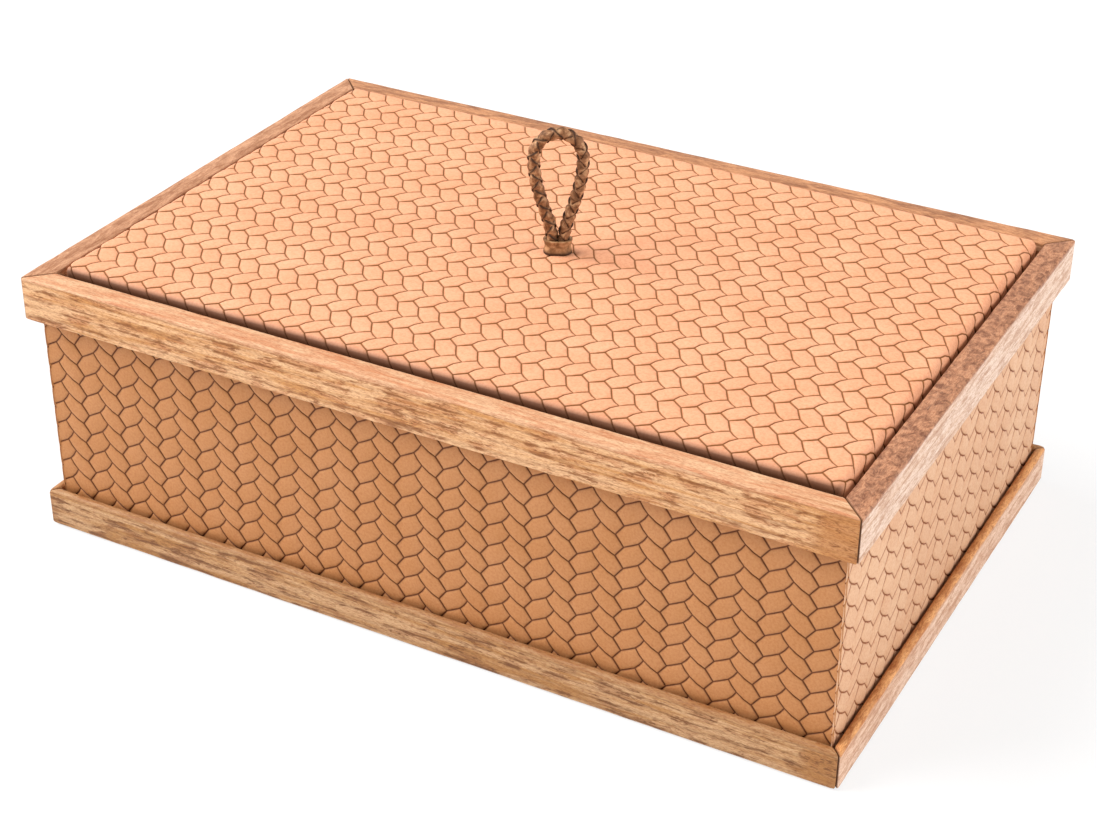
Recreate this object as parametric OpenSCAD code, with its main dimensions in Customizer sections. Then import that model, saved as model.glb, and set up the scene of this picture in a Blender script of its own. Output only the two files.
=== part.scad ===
// Stationery box: leather-covered walls between mitred hardwood mouldings, with a
// padded leather lid that drops inside the rim and lifts out by a braided loop.
// Millimetres. Origin at the centre of the base, on the surface the box stands on.
// X runs along the length, -Y is the front, Z is up.

/* [Box] */
// Overall length, over the mouldings
box_l = 305; // [240:1:400]
// Overall depth, over the mouldings
box_w = 203; // [150:1:280]
// Height from the table to the top of the rim
box_h = 100; // [75:1:160]

/* [Walls] */
// Thickness of the wall boards
wall_t = 8; // [6:0.5:12]
// Thickness of the leather on the walls and lid
leather_t = 1.4; // [1:0.1:2]
// Thickness of the suede-covered cards that line the inside
lining_t = 1.2; // [0.8:0.1:2]
// How far the wall lining stops below the seat of the lid
lining_drop = 0.6; // [0.3:0.1:3]

/* [Mouldings] */
// How far the mouldings stand out past the leather
reveal = 4; // [3:0.25:6]
// Height of the rim moulding
rim_h = 16; // [13:0.5:22]
// Width of the rim seen from above
rim_w = 8.5; // [7.5:0.25:11]
// Height of the base moulding
base_h = 14.5; // [10:0.5:24]
// Thickness of the foot that the walls and floor stand on
foot_t = 5; // [4:0.5:8]
// How far the foot reaches in past the walls to carry the floor
foot_ledge = 5; // [3:0.5:10]
// Radius of the eased edges
ease_r = 0.8; // [0.3:0.1:1.2]

/* [Floor] */
// Thickness of the floor board
floor_t = 6; // [4:0.5:9]
// Thickness of the felt glued under the floor
felt_t = 1.5; // [1:0.25:3]
// Gap left round the felt
felt_gap = 1; // [0.5:0.25:3]

/* [Lid] */
// Gap between the lid and the rim, all round
lid_gap = 1.5; // [0.8:0.1:2.5]
// Thickness of the lid board
lid_board_t = 7.4; // [6.5:0.1:10]
// Thickness of the foam under the lid leather
pad_t = 1.3; // [1.2:0.1:3]
// How far the lid stands above the rim
lid_proud = 2.5; // [0:0.25:4]
// Radius of the rolled top edge of the leather
lid_edge_r = 2.5; // [2:0.1:2.7]
// Radius of the upright corners of the lid
lid_corner_r = 2.5; // [2:0.1:5]
// Width of the leather turned in under the board
turn_in = 14; // [10:1:25]
// Thickness of the suede on the underside of the lid
lid_lining_t = 1; // [0.6:0.1:1.3]
// Gap between that suede and the turned-in leather
lid_lining_gap = 0.5; // [0.2:0.1:2]

/* [Braided pull] */
// Diameter of the braided cord
cord_d = 4.3; // [4:0.1:5]
// Height of the loop above the lid, over the braid
loop_h = 46.5; // [40:0.5:60]
// Width of the loop at its widest, over the braid
loop_w = 21; // [18:0.5:26]
// Height at which the loop is widest
loop_belly = 35; // [26:0.5:38]
// Distance between the two legs where they enter the lid
leg_gap = 3.9; // [3.5:0.1:5]
// Turn of the loop about its upright axis
loop_turn = 28; // [0:1:90]
// Length in which one strand goes once round the cord
braid_pitch = 11.6; // [10:0.1:14]

/* [Pull fixing] */
// Height of the leather collar
collar_h = 5; // [3.5:0.25:8]
// Thickness of the collar's leather
collar_t = 0.9; // [0.7:0.1:1.5]
// Clearance round the cord in the lid
cord_fit = 0.3; // [0.2:0.05:0.5]
// Depth of the pocket under the board that holds the tails
pocket_d = 3; // [2.8:0.1:3.5]
// Length of each tail, from its leg to its end
tail_l = 9; // [8:0.5:14]
// Width of a flattened tail
tail_w = 6; // [5:0.5:8]
// Thickness of a flattened tail
tail_t = 1.9; // [1.5:0.1:2]
// Clearance round the tails in their pocket
pocket_fit = 0.75; // [0.5:0.05:1.5]
// Diameter of a tack's head
tack_head_d = 4; // [3:0.25:5]
// Thickness of a tack's head
tack_head_t = 0.7; // [0.4:0.1:0.8]
// Diameter of a tack's shank
tack_d = 1.4; // [1:0.1:2]
// How far a tack goes into the board
tack_bite = 3; // [2:0.25:3.2]

/* [Hidden] */

SIDES = ["front", "right", "back", "left"];

// Depths measured inwards from the outer face of the mouldings
board_in = reveal + leather_t;
wall_in = board_in + wall_t;
lined_in = wall_in + lining_t;
foot_w = wall_in + foot_ledge;

// Heights
seat_z = box_h + lid_proud - (2 * leather_t + lid_board_t + pad_t);
rim_z = box_h - rim_h;
wall_h = seat_z - foot_t;
floor_z = foot_t + floor_t;
lined_z = floor_z + lining_t;

// Lid
lid_l = box_l - 2 * (rim_w + lid_gap);
lid_w = box_w - 2 * (rim_w + lid_gap);
board_z = seat_z + leather_t;
board_top = board_z + lid_board_t;
lid_top = board_top + pad_t + leather_t;

// Pull
slot_l = min(2 * leg_gap, leg_gap + cord_d) + 2 * cord_fit;
slot_w = cord_d + 2 * cord_fit;
pocket_l = leg_gap + 2 * (tail_l + pocket_fit);
pocket_w = tail_w + 2 * pocket_fit;
tail_z = board_z + pocket_d - tail_t;
tack_x = leg_gap / 2 + tail_l - tail_w / 2;

WOOD = "#B5824F";
LEATHER = "#D9A274";
BOARD = "#B79B77";
SUEDE = "#6B4A35";
FELT = "#3E3A36";
BRAID = "#7A5436";
FOAM = "#E8E0CC";
STEEL = "#A9ABAD";

$fn = 48;

// Length of a side of the box, measured over the mouldings
function side_l(side) = side == "front" || side == "back" ? box_l : box_w;

// Puts a piece drawn along X with its outer face on Y = 0 on one side of the box
module on_side(side) {
    turn = side == "front" ? 0 : side == "right" ? 90 : side == "back" ? 180 : 270;
    out = side == "front" || side == "back" ? box_w / 2 : box_l / 2;
    rotate([0, 0, turn]) translate([0, -out, 0]) children();
}

// Rectangle with round corners, its lower left corner at the origin
module eased_rect(w, h, r) {
    translate([r, 0]) square([w - 2 * r, h]);
    translate([0, r]) square([w, h - 2 * r]);
    for (x = [r, w - r], y = [r, h - r]) translate([x, y]) circle(r);
}

// Slot outline along X: a rectangle with two half-round ends
module slot_outline(l, w) {
    square([l - w, w], center = true);
    for (s = [-1, 1]) translate([s * (l - w) / 2, 0]) circle(d = w);
}

// A profile drawn as depth by height, run along a side and mitred at both ends
module mitred_rail(length, depth, height) {
    intersection() {
        translate([-length / 2, 0, 0]) rotate([90, 0, 90]) linear_extrude(length) children();
        linear_extrude(height) polygon([
            [-length / 2, 0], [length / 2, 0],
            [length / 2 - depth, depth], [-length / 2 + depth, depth]
        ]);
    }
}

// Base moulding: a lip in front of the leather and a foot under the wall and floor
module base_rail(side) {
    color(WOOD) on_side(side) mitred_rail(side_l(side), foot_w, base_h) union() {
        eased_rect(reveal, base_h, ease_r);
        eased_rect(foot_w, foot_t, ease_r);
    }
}

// Rim moulding: a lip over the leather, rebated to sit on the wall
module rim_rail(side) {
    color(WOOD) on_side(side) translate([0, 0, rim_z])
        mitred_rail(side_l(side), rim_w, rim_h) union() {
            eased_rect(reveal, rim_h, ease_r);
            translate([0, seat_z - rim_z]) eased_rect(rim_w, box_h - seat_z, ease_r);
        }
}

// Upright wall board: front and back run through, the ends fit between them
module wall(side) {
    through = side == "front" || side == "back";
    length = side_l(side) - 2 * (through ? board_in : wall_in);
    color(BOARD) on_side(side) translate([-length / 2, board_in, foot_t])
        cube([length, wall_t, wall_h]);
}

// Leather panel glued to the outside of a wall board, mitred at the corners
module leather_panel(side) {
    color(LEATHER) on_side(side) translate([0, reveal, foot_t])
        mitred_rail(side_l(side) - 2 * reveal, leather_t, wall_h) square([leather_t, wall_h]);
}

// Suede-covered card against the inside of a wall
module lining_panel(side) {
    through = side == "front" || side == "back";
    length = side_l(side) - 2 * (through ? wall_in : lined_in);
    color(SUEDE) on_side(side) translate([-length / 2, wall_in, lined_z])
        cube([length, lining_t, seat_z - lining_drop - lined_z]);
}

// Flat sheet centred on the box, its edges a given depth in from the mouldings
module sheet(inset, z, t) {
    translate([-box_l / 2 + inset, -box_w / 2 + inset, z])
        cube([box_l - 2 * inset, box_w - 2 * inset, t]);
}

module floor_board() { color(BOARD) sheet(wall_in, foot_t, floor_t); }

module floor_lining() { color(SUEDE) sheet(wall_in, floor_z, lining_t); }

module base_felt() { color(FELT) sheet(foot_w + felt_gap, foot_t - felt_t, felt_t); }

// Profile of a slab whose two top corners are round
module crowned_profile(w, h, r) {
    translate([-w / 2, 0]) square([w, h - r]);
    translate([-w / 2 + r, 0]) square([w - 2 * r, h]);
    for (s = [-1, 1]) translate([s * (w / 2 - r), h - r]) circle(r);
}

// Slab with rolled top edges and round upright corners
module lid_slab(inset, z, h, edge_r, corner_r) {
    l = lid_l - 2 * inset;
    w = lid_w - 2 * inset;
    translate([0, 0, z]) intersection() {
        linear_extrude(h) translate([-l / 2, -w / 2]) eased_rect(l, w, corner_r);
        translate([-l / 2, 0, 0]) rotate([90, 0, 90]) linear_extrude(l) crowned_profile(w, h, edge_r);
        translate([0, w / 2, 0]) rotate([90, 0, 0]) linear_extrude(w) crowned_profile(l, h, edge_r);
    }
}

// Slot through the lid for the two legs of the loop
module cord_slot() {
    rotate([0, 0, loop_turn]) translate([0, 0, seat_z - 1])
        linear_extrude(lid_top - seat_z + 2) slot_outline(slot_l, slot_w);
}

// Pocket under the board for the tails of the cord
module tail_pocket() {
    rotate([0, 0, loop_turn]) translate([0, 0, board_z - 1])
        linear_extrude(pocket_d + 1) translate([-pocket_l / 2, -pocket_w / 2])
            eased_rect(pocket_l, pocket_w, pocket_fit * 2);
}

module lid_board() {
    l = lid_l - 2 * leather_t;
    w = lid_w - 2 * leather_t;
    color(BOARD) difference() {
        translate([-l / 2, -w / 2, board_z]) linear_extrude(lid_board_t)
            eased_rect(l, w, lid_corner_r - leather_t);
        cord_slot();
        tail_pocket();
        tack_holes();
    }
}

// Thin foam that rounds the top of the lid under its leather
module lid_padding() {
    color(FOAM) difference() {
        lid_slab(leather_t, board_top, pad_t, lid_edge_r - leather_t, lid_corner_r - leather_t);
        cord_slot();
    }
}

// Leather over the top and edges of the lid, turned in under the board
module lid_leather() {
    window_l = lid_l - 2 * turn_in;
    window_w = lid_w - 2 * turn_in;
    color(LEATHER) difference() {
        lid_slab(0, seat_z, lid_top - seat_z, lid_edge_r, lid_corner_r);
        lid_slab(leather_t, board_z, lid_board_t + pad_t, lid_edge_r - leather_t,
            lid_corner_r - leather_t);
        translate([-window_l / 2, -window_w / 2, seat_z - 1]) cube([window_l, window_w, leather_t + 2]);
        cord_slot();
    }
}

// Suede that closes the underside of the lid, inside the turned-in leather
module lid_lining() {
    l = lid_l - 2 * (turn_in + lid_lining_gap);
    w = lid_w - 2 * (turn_in + lid_lining_gap);
    color(SUEDE) translate([-l / 2, -w / 2, board_z - lid_lining_t]) cube([l, w, lid_lining_t]);
}

// Guide of the loop in its own plane, from the end of the right tail to the top of the
// arch. Each point is [across, height above the lid, half-thickness, half-width].
guide_steps = 16;
cord_r = cord_d / 2;
belly_x = (loop_w - cord_d) / 2;
arch_h = loop_h - cord_r - loop_belly;
tail_mid = tail_z + tail_t / 2 - lid_top;
bend_r = 2;
// The legs run straight up through most of the collar, then start to part
leg_start = collar_h * 0.75;
// Leather that stays between the legs where they press on each other
leg_touch = 0.1;

function bezier(a, b, c, d, t) =
    a * pow(1 - t, 3) + 3 * b * t * pow(1 - t, 2) + 3 * c * pow(t, 2) * (1 - t) + d * pow(t, 3);

// The cord is squeezed where its two legs meet
function squeezed(p) = [p.x, p.y, min(cord_r, p.x - leg_touch / 2), cord_r];

tail_guide = [for (x = [tail_l, (tail_l + bend_r) / 2])
    [leg_gap / 2 + x, tail_mid, tail_t / 2, tail_w / 2]];
bend_guide = [for (a = [0:15:90])
    let (mix = a / 90, leg_r = (leg_gap - leg_touch) / 2)
    [leg_gap / 2 + bend_r * (1 - sin(a)), tail_mid + bend_r * (1 - cos(a)),
        tail_t / 2 * (1 - mix) + leg_r * mix, tail_w / 2 + (cord_r - tail_w / 2) * sin(a)]];
leg_guide = [for (i = [0:guide_steps - 1])
    squeezed(bezier([leg_gap / 2, leg_start], [leg_gap / 2, loop_belly * 0.36],
        [belly_x, loop_belly * 0.62], [belly_x, loop_belly], i / guide_steps))];
arch_guide = [for (a = [0:90 / guide_steps:90])
    [belly_x * cos(a), loop_belly + arch_h * sin(a), cord_r, cord_r]];
half_guide = concat(tail_guide, bend_guide, leg_guide, arch_guide);
half_n = len(half_guide);
guide = concat(half_guide, [for (i = [half_n - 2:-1:0])
    let (p = half_guide[i]) [-p[0], p[1], p[2], p[3]]]);

// Distance run along the guide up to each of its points
function step_length(i) = norm([guide[i + 1].x - guide[i].x, guide[i + 1].y - guide[i].y]);
run = [for (i = 0, sum = 0; i < len(guide);
    sum = sum + (i < len(guide) - 1 ? step_length(i) : 0), i = i + 1) sum];
cord_length = run[len(run) - 1];

// Guide values at a distance along the cord
function guide_at(s) =
    let (i = min(len([for (r = run) if (r <= s) 1]), len(run) - 1) - 1,
        mix = (s - run[i]) / (run[i + 1] - run[i]))
    guide[i] * (1 - mix) + guide[i + 1] * mix;

// The braid: four flat strands, two turning each way, each over one and under the
// next. Seen on the cord's surface, strand lines run where a count is whole.
ring_sides = 12;
rings_per_pitch = 12;
braid_depth = 0.2;
strand_crown = 0.45;

// How high the surface stands, from 1 on top of a strand to below 0 in a groove
function braid_height(turns, along) =
    let (
        left = 2 * (turns - along),
        right = 2 * (turns + along),
        left_n = round(left),
        right_n = round(right),
        left_h = cos(180 * (right - left_n)) - strand_crown * pow(2 * (left - left_n), 2),
        right_h = -cos(180 * (left - right_n)) - strand_crown * pow(2 * (right - right_n), 2)
    )
    max(left_h, right_h);

// One ring of points on the cord's surface at a distance along it
function cord_ring(s) =
    let (
        here = guide_at(s),
        ahead = guide_at(min(s + 0.2, cord_length)) - guide_at(max(s - 0.2, 0)),
        t = [ahead.x, ahead.y] / norm([ahead.x, ahead.y])
    )
    [for (k = [0:ring_sides - 1])
        let (
            a = 360 * k / ring_sides,
            r = 1 - braid_depth * (1 - braid_height(k / ring_sides, s / braid_pitch)),
            inward = r * here[2] * cos(a)
        )
        [here.x - inward * t.y, r * here[3] * sin(a), here.y + inward * t.x]];

// Solid through a list of equal rings, closed by its two end rings
module swept(rings) {
    n = len(rings[0]);
    last = len(rings) - 1;
    polyhedron(
        points = [for (ring = rings) each ring],
        faces = concat(
            [[for (k = [0:n - 1]) k]],
            [for (i = [0:last - 1], k = [0:n - 1])
                [i * n + k, (i + 1) * n + k, (i + 1) * n + (k + 1) % n, i * n + (k + 1) % n]],
            [[for (k = [n - 1:-1:0]) last * n + k]]
        )
    );
}

// Braided cord bent into a loop; its flattened tails fold out under the board
module pull_loop() {
    ring_n = round(cord_length / (braid_pitch / rings_per_pitch));
    color(BRAID) rotate([0, 0, loop_turn]) translate([0, 0, lid_top])
        swept([for (i = [0:ring_n]) cord_ring(cord_length * i / ring_n)]);
}

// Leather ring that grips both legs and hides the slot
module pull_collar() {
    color(BRAID) rotate([0, 0, loop_turn]) translate([0, 0, lid_top]) linear_extrude(collar_h)
        difference() {
            slot_outline(slot_l + 2 * collar_t, slot_w + 2 * collar_t);
            slot_outline(slot_l, slot_w);
        }
}

// Places for the two tacks, one through each tail
module at_tacks() {
    rotate([0, 0, loop_turn]) for (s = [-1, 1]) translate([s * tack_x, 0, 0]) children();
}

module tack_holes() {
    at_tacks() translate([0, 0, board_z]) cylinder(d = tack_d, h = pocket_d + tack_bite);
}

module pull_tacks() {
    color(STEEL) at_tacks() union() {
        translate([0, 0, tail_z - tack_head_t]) cylinder(d = tack_head_d, h = tack_head_t);
        translate([0, 0, tail_z]) cylinder(d = tack_d, h = tail_t + tack_bite);
    }
}

for (side = SIDES) {
    base_rail(side);
    wall(side);
    leather_panel(side);
    lining_panel(side);
    rim_rail(side);
}
floor_board();
base_felt();
floor_lining();
lid_board();
lid_padding();
lid_leather();
lid_lining();
pull_loop();
pull_collar();
pull_tacks();
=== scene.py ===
# Dresses the stationery box: plaited embossed leather, mitred hardwood mouldings,
# a braided pull loop and the lined inside. Pieces are modelled in millimetres and
# scaled to metres when they are finished.
import math

import bmesh
import bpy
from mathutils import Matrix, Vector, noise


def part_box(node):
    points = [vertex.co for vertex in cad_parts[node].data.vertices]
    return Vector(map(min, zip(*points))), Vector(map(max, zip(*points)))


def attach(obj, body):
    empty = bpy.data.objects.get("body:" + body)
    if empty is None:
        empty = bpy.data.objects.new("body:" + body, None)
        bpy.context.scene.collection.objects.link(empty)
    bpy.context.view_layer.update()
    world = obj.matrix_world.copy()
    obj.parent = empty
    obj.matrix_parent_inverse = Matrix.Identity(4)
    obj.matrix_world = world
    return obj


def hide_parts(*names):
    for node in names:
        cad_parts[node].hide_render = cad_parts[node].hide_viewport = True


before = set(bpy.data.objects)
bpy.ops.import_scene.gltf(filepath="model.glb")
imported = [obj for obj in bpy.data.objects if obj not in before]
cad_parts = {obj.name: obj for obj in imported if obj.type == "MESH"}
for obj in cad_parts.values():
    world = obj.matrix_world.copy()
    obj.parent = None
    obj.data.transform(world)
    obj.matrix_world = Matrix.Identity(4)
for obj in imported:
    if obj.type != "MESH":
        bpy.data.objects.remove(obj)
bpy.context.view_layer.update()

MM = 0.001
SIDES = {"front": 0, "right": 90, "back": 180, "left": 270}


# Sizes read from the frame, in millimetres

def corners(node):
    """Lowest and highest corner of a CAD node in millimetres."""
    low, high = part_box(node)
    return Vector(low) / MM, Vector(high) / MM


rim_low, rim_high = corners("rim_rail_front")
rim_left_low, rim_left_high = corners("rim_rail_left")
base_low, base_high = corners("base_rail_front")
wall_low, wall_high = corners("wall_front")
skin_low, skin_high = corners("leather_front")
lid_low, lid_high = corners("lid_leather")
collar_low, collar_high = corners("pull_collar")
loop_low, loop_high = corners("pull_loop")

BOX_L = rim_high.x - rim_low.x
BOX_W = rim_left_high.y - rim_left_low.y
REVEAL = skin_low.y - rim_low.y
SKIN_T = skin_high.y - skin_low.y
SEAT_Z = wall_high.z
FOOT_T = wall_low.z


def side_length(side):
    """Outer length of the box along one side."""
    return BOX_L if side in ("front", "back") else BOX_W


def side_matrix(side):
    """From a piece drawn along X with its outer face on Y = 0 to its side of the box."""
    out = BOX_W / 2 if side in ("front", "back") else BOX_L / 2
    return Matrix.Rotation(math.radians(SIDES[side]), 4, "Z") @ Matrix.Translation((0, -out, 0))


# Camera, solved from the box's corners in the photograph

CAMERA_AT = Vector((0.3196, -0.5966, 0.4429))
CAMERA_LOOK = Vector((-0.4085, 0.7548, -0.5132))
CAMERA_ROLL = math.radians(0.32)
CAMERA_LENS = 71.9
SENSOR = 36


def make_camera():
    data = bpy.data.cameras.new("camera")
    data.lens = CAMERA_LENS
    data.sensor_width = SENSOR
    camera = bpy.data.objects.new("camera", data)
    turn = CAMERA_LOOK.to_track_quat("-Z", "Y").to_matrix().to_4x4()
    camera.matrix_world = (Matrix.Translation(CAMERA_AT) @ turn
                           @ Matrix.Rotation(CAMERA_ROLL, 4, "Z"))
    bpy.context.scene.collection.objects.link(camera)
    bpy.context.scene.camera = camera


# Materials

def paint(hex_colour):
    """sRGB hex to a linear colour."""
    levels = [int(hex_colour[i:i + 2], 16) / 255 for i in (1, 3, 5)]
    return [c / 12.92 if c <= 0.04045 else ((c + 0.055) / 1.055) ** 2.4 for c in levels] + [1]


def add(tree, kind, links=None, out=0, stops=(), **settings):
    """Adds a node with its settings and links, and gives back one of its outputs."""
    made = tree.nodes.new(kind)
    for name, value in settings.items():
        setattr(made, name, value)
    for place, (position, colour) in enumerate(stops):
        marks = made.color_ramp.elements
        mark = marks[place] if place < 2 else marks.new(position)
        mark.position = position
        mark.color = colour
    for name, value in (links or {}).items():
        if isinstance(value, bpy.types.NodeSocket):
            tree.links.new(value, made.inputs[name])
        else:
            made.inputs[name].default_value = value
    return made.outputs[out] if made.outputs else made


def new_material(name):
    material = bpy.data.materials.new(name)
    material.use_nodes = True
    material.node_tree.nodes.clear()
    return material, material.node_tree


# Oiled mango wood, planed, sanded and wiped with oil: pale tan sapwood with thin growth
# lines and drifts of short brown flecks along the grain, a redder top where the board
# shows heartwood, dark glue in the mitres and a satin surface. The grain runs along X or
# Y, the heartwood starts at height heart_z and has marks heart_run millimetres long, and
# an end that drank more oil is given by its place along the grain and its colour.
def mango_wood(name, along, sap, tan, fleck, heart, heart_run, heart_z, oiled_end=None):
    material, tree = new_material(name)
    turn = (0, 0, 0 if along == "X" else math.radians(90))
    here = add(tree, "ShaderNodeTexCoord", out="Object")
    height = add(tree, "ShaderNodeSeparateXYZ", {"Vector": here}, out="Z")

    # Broad bands of growth, about 45 mm long and 3 mm high
    bands = add(tree, "ShaderNodeMapping", {
        "Vector": here, "Rotation": turn, "Scale": [s * MM for s in (45, 3, 3)]},
        vector_type="TEXTURE")
    bands = add(tree, "ShaderNodeTexNoise", {
        "Vector": bands, "Scale": 1, "Detail": 4, "Roughness": 0.62, "Distortion": 0.8})
    body = add(tree, "ShaderNodeValToRGB", {"Fac": bands}, stops=(
        (0.38, paint(tan)), (0.56, paint(sap))))

    # Blotches where more oil went in, 11 mm by 3 mm
    blotch = add(tree, "ShaderNodeMapping", {
        "Vector": here, "Rotation": turn, "Location": (0.3, 0, 0.1),
        "Scale": [s * MM for s in (11, 3.2, 3.2)]}, vector_type="TEXTURE")
    blotch = add(tree, "ShaderNodeTexNoise", {
        "Vector": blotch, "Scale": 1, "Detail": 3, "Roughness": 0.6, "Distortion": 0.5})
    oil = add(tree, "ShaderNodeMapRange", {
        "Value": blotch, "From Min": 0.5, "From Max": 0.6, "To Max": 0.42})
    body = add(tree, "ShaderNodeMix", {0: oil, 6: body, 7: paint(tan)}, out=2,
               data_type="RGBA", blend_type="MULTIPLY")
    drifts = add(tree, "ShaderNodeMapRange", {
        "Value": blotch, "From Min": 0.44, "From Max": 0.58, "To Min": 0.25, "To Max": 1})

    # Growth lines 3.4 mm apart
    rings = add(tree, "ShaderNodeMapping", {
        "Vector": here, "Rotation": turn, "Scale": [s * MM for s in (90, 10.8, 10.8)]},
        vector_type="TEXTURE")
    rings = add(tree, "ShaderNodeTexWave", {
        "Vector": rings, "Scale": 1, "Distortion": 6, "Detail": 4, "Detail Scale": 1.5,
        "Detail Roughness": 0.6}, out="Fac", wave_type="BANDS", bands_direction="Z")
    rings = add(tree, "ShaderNodeMapRange", {
        "Value": rings, "From Min": 0.7, "From Max": 0.95, "To Max": 0.85})
    rings = add(tree, "ShaderNodeMath", {0: rings, 1: drifts}, operation="MULTIPLY")
    body = add(tree, "ShaderNodeMix", {0: rings, 6: body, 7: paint(fleck)}, out=2,
               data_type="RGBA")

    # An end that drank more oil than the rest
    if oiled_end:
        length = add(tree, "ShaderNodeSeparateXYZ", {"Vector": here}, out=along)
        starts, colour = oiled_end
        ragged = add(tree, "ShaderNodeMath", {0: bands, 1: 20 * MM, 2: length},
                     operation="MULTIPLY_ADD")
        soaked = add(tree, "ShaderNodeMapRange", {
            "Value": ragged, "From Min": (starts + 8) * MM, "From Max": (starts + 12) * MM,
            "To Max": 0.75})
        body = add(tree, "ShaderNodeMix", {0: soaked, 6: body, 7: paint(colour)}, out=2,
                   data_type="RGBA")

    # Heartwood on the top face, with a ragged border
    ragged = add(tree, "ShaderNodeMath", {0: bands, 1: 4 * MM, 2: height},
                 operation="MULTIPLY_ADD")
    face = add(tree, "ShaderNodeMapRange", {
        "Value": ragged, "From Min": (heart_z + 1.5) * MM, "From Max": (heart_z + 2.3) * MM})
    red = add(tree, "ShaderNodeMapping", {
        "Vector": here, "Rotation": turn, "Location": (0.5, 0, 0),
        "Scale": [s * MM for s in (heart_run, 2.4, 2.4)]}, vector_type="TEXTURE")
    red = add(tree, "ShaderNodeTexNoise", {
        "Vector": red, "Scale": 1, "Detail": 5, "Roughness": 0.7, "Distortion": 0.6})
    red = add(tree, "ShaderNodeValToRGB", {"Fac": red}, stops=(
        (0.38, paint(heart[0])), (0.6, paint(heart[1]))))
    body = add(tree, "ShaderNodeMix", {0: face, 6: body, 7: red}, out=2, data_type="RGBA")

    # A darker line where the heartwood begins
    seam = add(tree, "ShaderNodeMath", {0: face, 1: 0.5}, operation="PINGPONG")
    body = add(tree, "ShaderNodeMix", {0: seam, 6: body, 7: paint(fleck)}, out=2, data_type="RGBA")

    # Short brown flecks, 3 mm by half a millimetre, gathered in drifts
    dashes = add(tree, "ShaderNodeMapping", {
        "Vector": here, "Rotation": turn, "Scale": [s * MM for s in (3.2, 0.62, 0.62)]},
        vector_type="TEXTURE")
    dashes = add(tree, "ShaderNodeTexNoise", {
        "Vector": dashes, "Scale": 1, "Detail": 3, "Roughness": 0.66, "Distortion": 0.5})
    dashes = add(tree, "ShaderNodeMapRange", {
        "Value": dashes, "From Min": 0.54, "From Max": 0.59, "To Max": 0.85})
    flecks = add(tree, "ShaderNodeMath", {0: dashes, 1: drifts}, operation="MULTIPLY")
    thinner = add(tree, "ShaderNodeMapRange", {"Value": face, "To Min": 1, "To Max": 0.25})
    flecks = add(tree, "ShaderNodeMath", {0: flecks, 1: thinner}, operation="MULTIPLY")
    body = add(tree, "ShaderNodeMix", {0: flecks, 6: body, 7: paint(fleck)}, out=2,
               data_type="RGBA")

    # Fibres a third of a millimetre wide, drawn that coarse so that they show
    fibre = add(tree, "ShaderNodeMapping", {
        "Vector": here, "Rotation": turn, "Scale": [s * MM for s in (1.6, 0.36, 0.36)]},
        vector_type="TEXTURE")
    fibre = add(tree, "ShaderNodeTexNoise", {
        "Vector": fibre, "Scale": 1, "Detail": 3, "Roughness": 0.7, "Distortion": 0.3})
    shade = add(tree, "ShaderNodeValToRGB", {"Fac": fibre}, stops=(
        (0.34, paint("#B98A60")), (0.56, paint("#FFFFFF"))))
    body = add(tree, "ShaderNodeMix", {0: 0.65, 6: body, 7: shade}, out=2,
               data_type="RGBA", blend_type="MULTIPLY")

    # Dark glue along the mitres, where X and Y are equally far from the outer faces
    size = add(tree, "ShaderNodeVectorMath", {0: here}, operation="ABSOLUTE")
    beside = add(tree, "ShaderNodeSeparateXYZ", {"Vector": size}, out="X")
    behind = add(tree, "ShaderNodeSeparateXYZ", {"Vector": size}, out="Y")
    apart = add(tree, "ShaderNodeMath", {0: beside, 1: behind}, operation="SUBTRACT")
    apart = add(tree, "ShaderNodeMath", {0: apart, 1: (BOX_L - BOX_W) / 2 * MM},
                operation="SUBTRACT")
    apart = add(tree, "ShaderNodeMath", {0: apart}, operation="ABSOLUTE")
    glue = add(tree, "ShaderNodeMapRange", {
        "Value": apart, "From Min": 0.25 * MM, "From Max": 0.75 * MM, "To Min": 0.85, "To Max": 0})
    body = add(tree, "ShaderNodeMix", {0: glue, 6: body, 7: paint("#6B4222")}, out=2,
               data_type="RGBA")

    rough = add(tree, "ShaderNodeMapRange", {"Value": fibre, "To Min": 0.5, "To Max": 0.72})
    dents = add(tree, "ShaderNodeMath", {0: flecks, 1: -0.6, 2: fibre}, operation="MULTIPLY_ADD")
    relief = add(tree, "ShaderNodeBump", {"Height": dents, "Strength": 0.4, "Distance": 0.16 * MM})
    shader = add(tree, "ShaderNodeBsdfPrincipled", {
        "Base Color": body, "Roughness": rough, "Specular IOR Level": 0.35, "Normal": relief})
    add(tree, "ShaderNodeOutputMaterial", {"Surface": shader})
    return material


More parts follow.
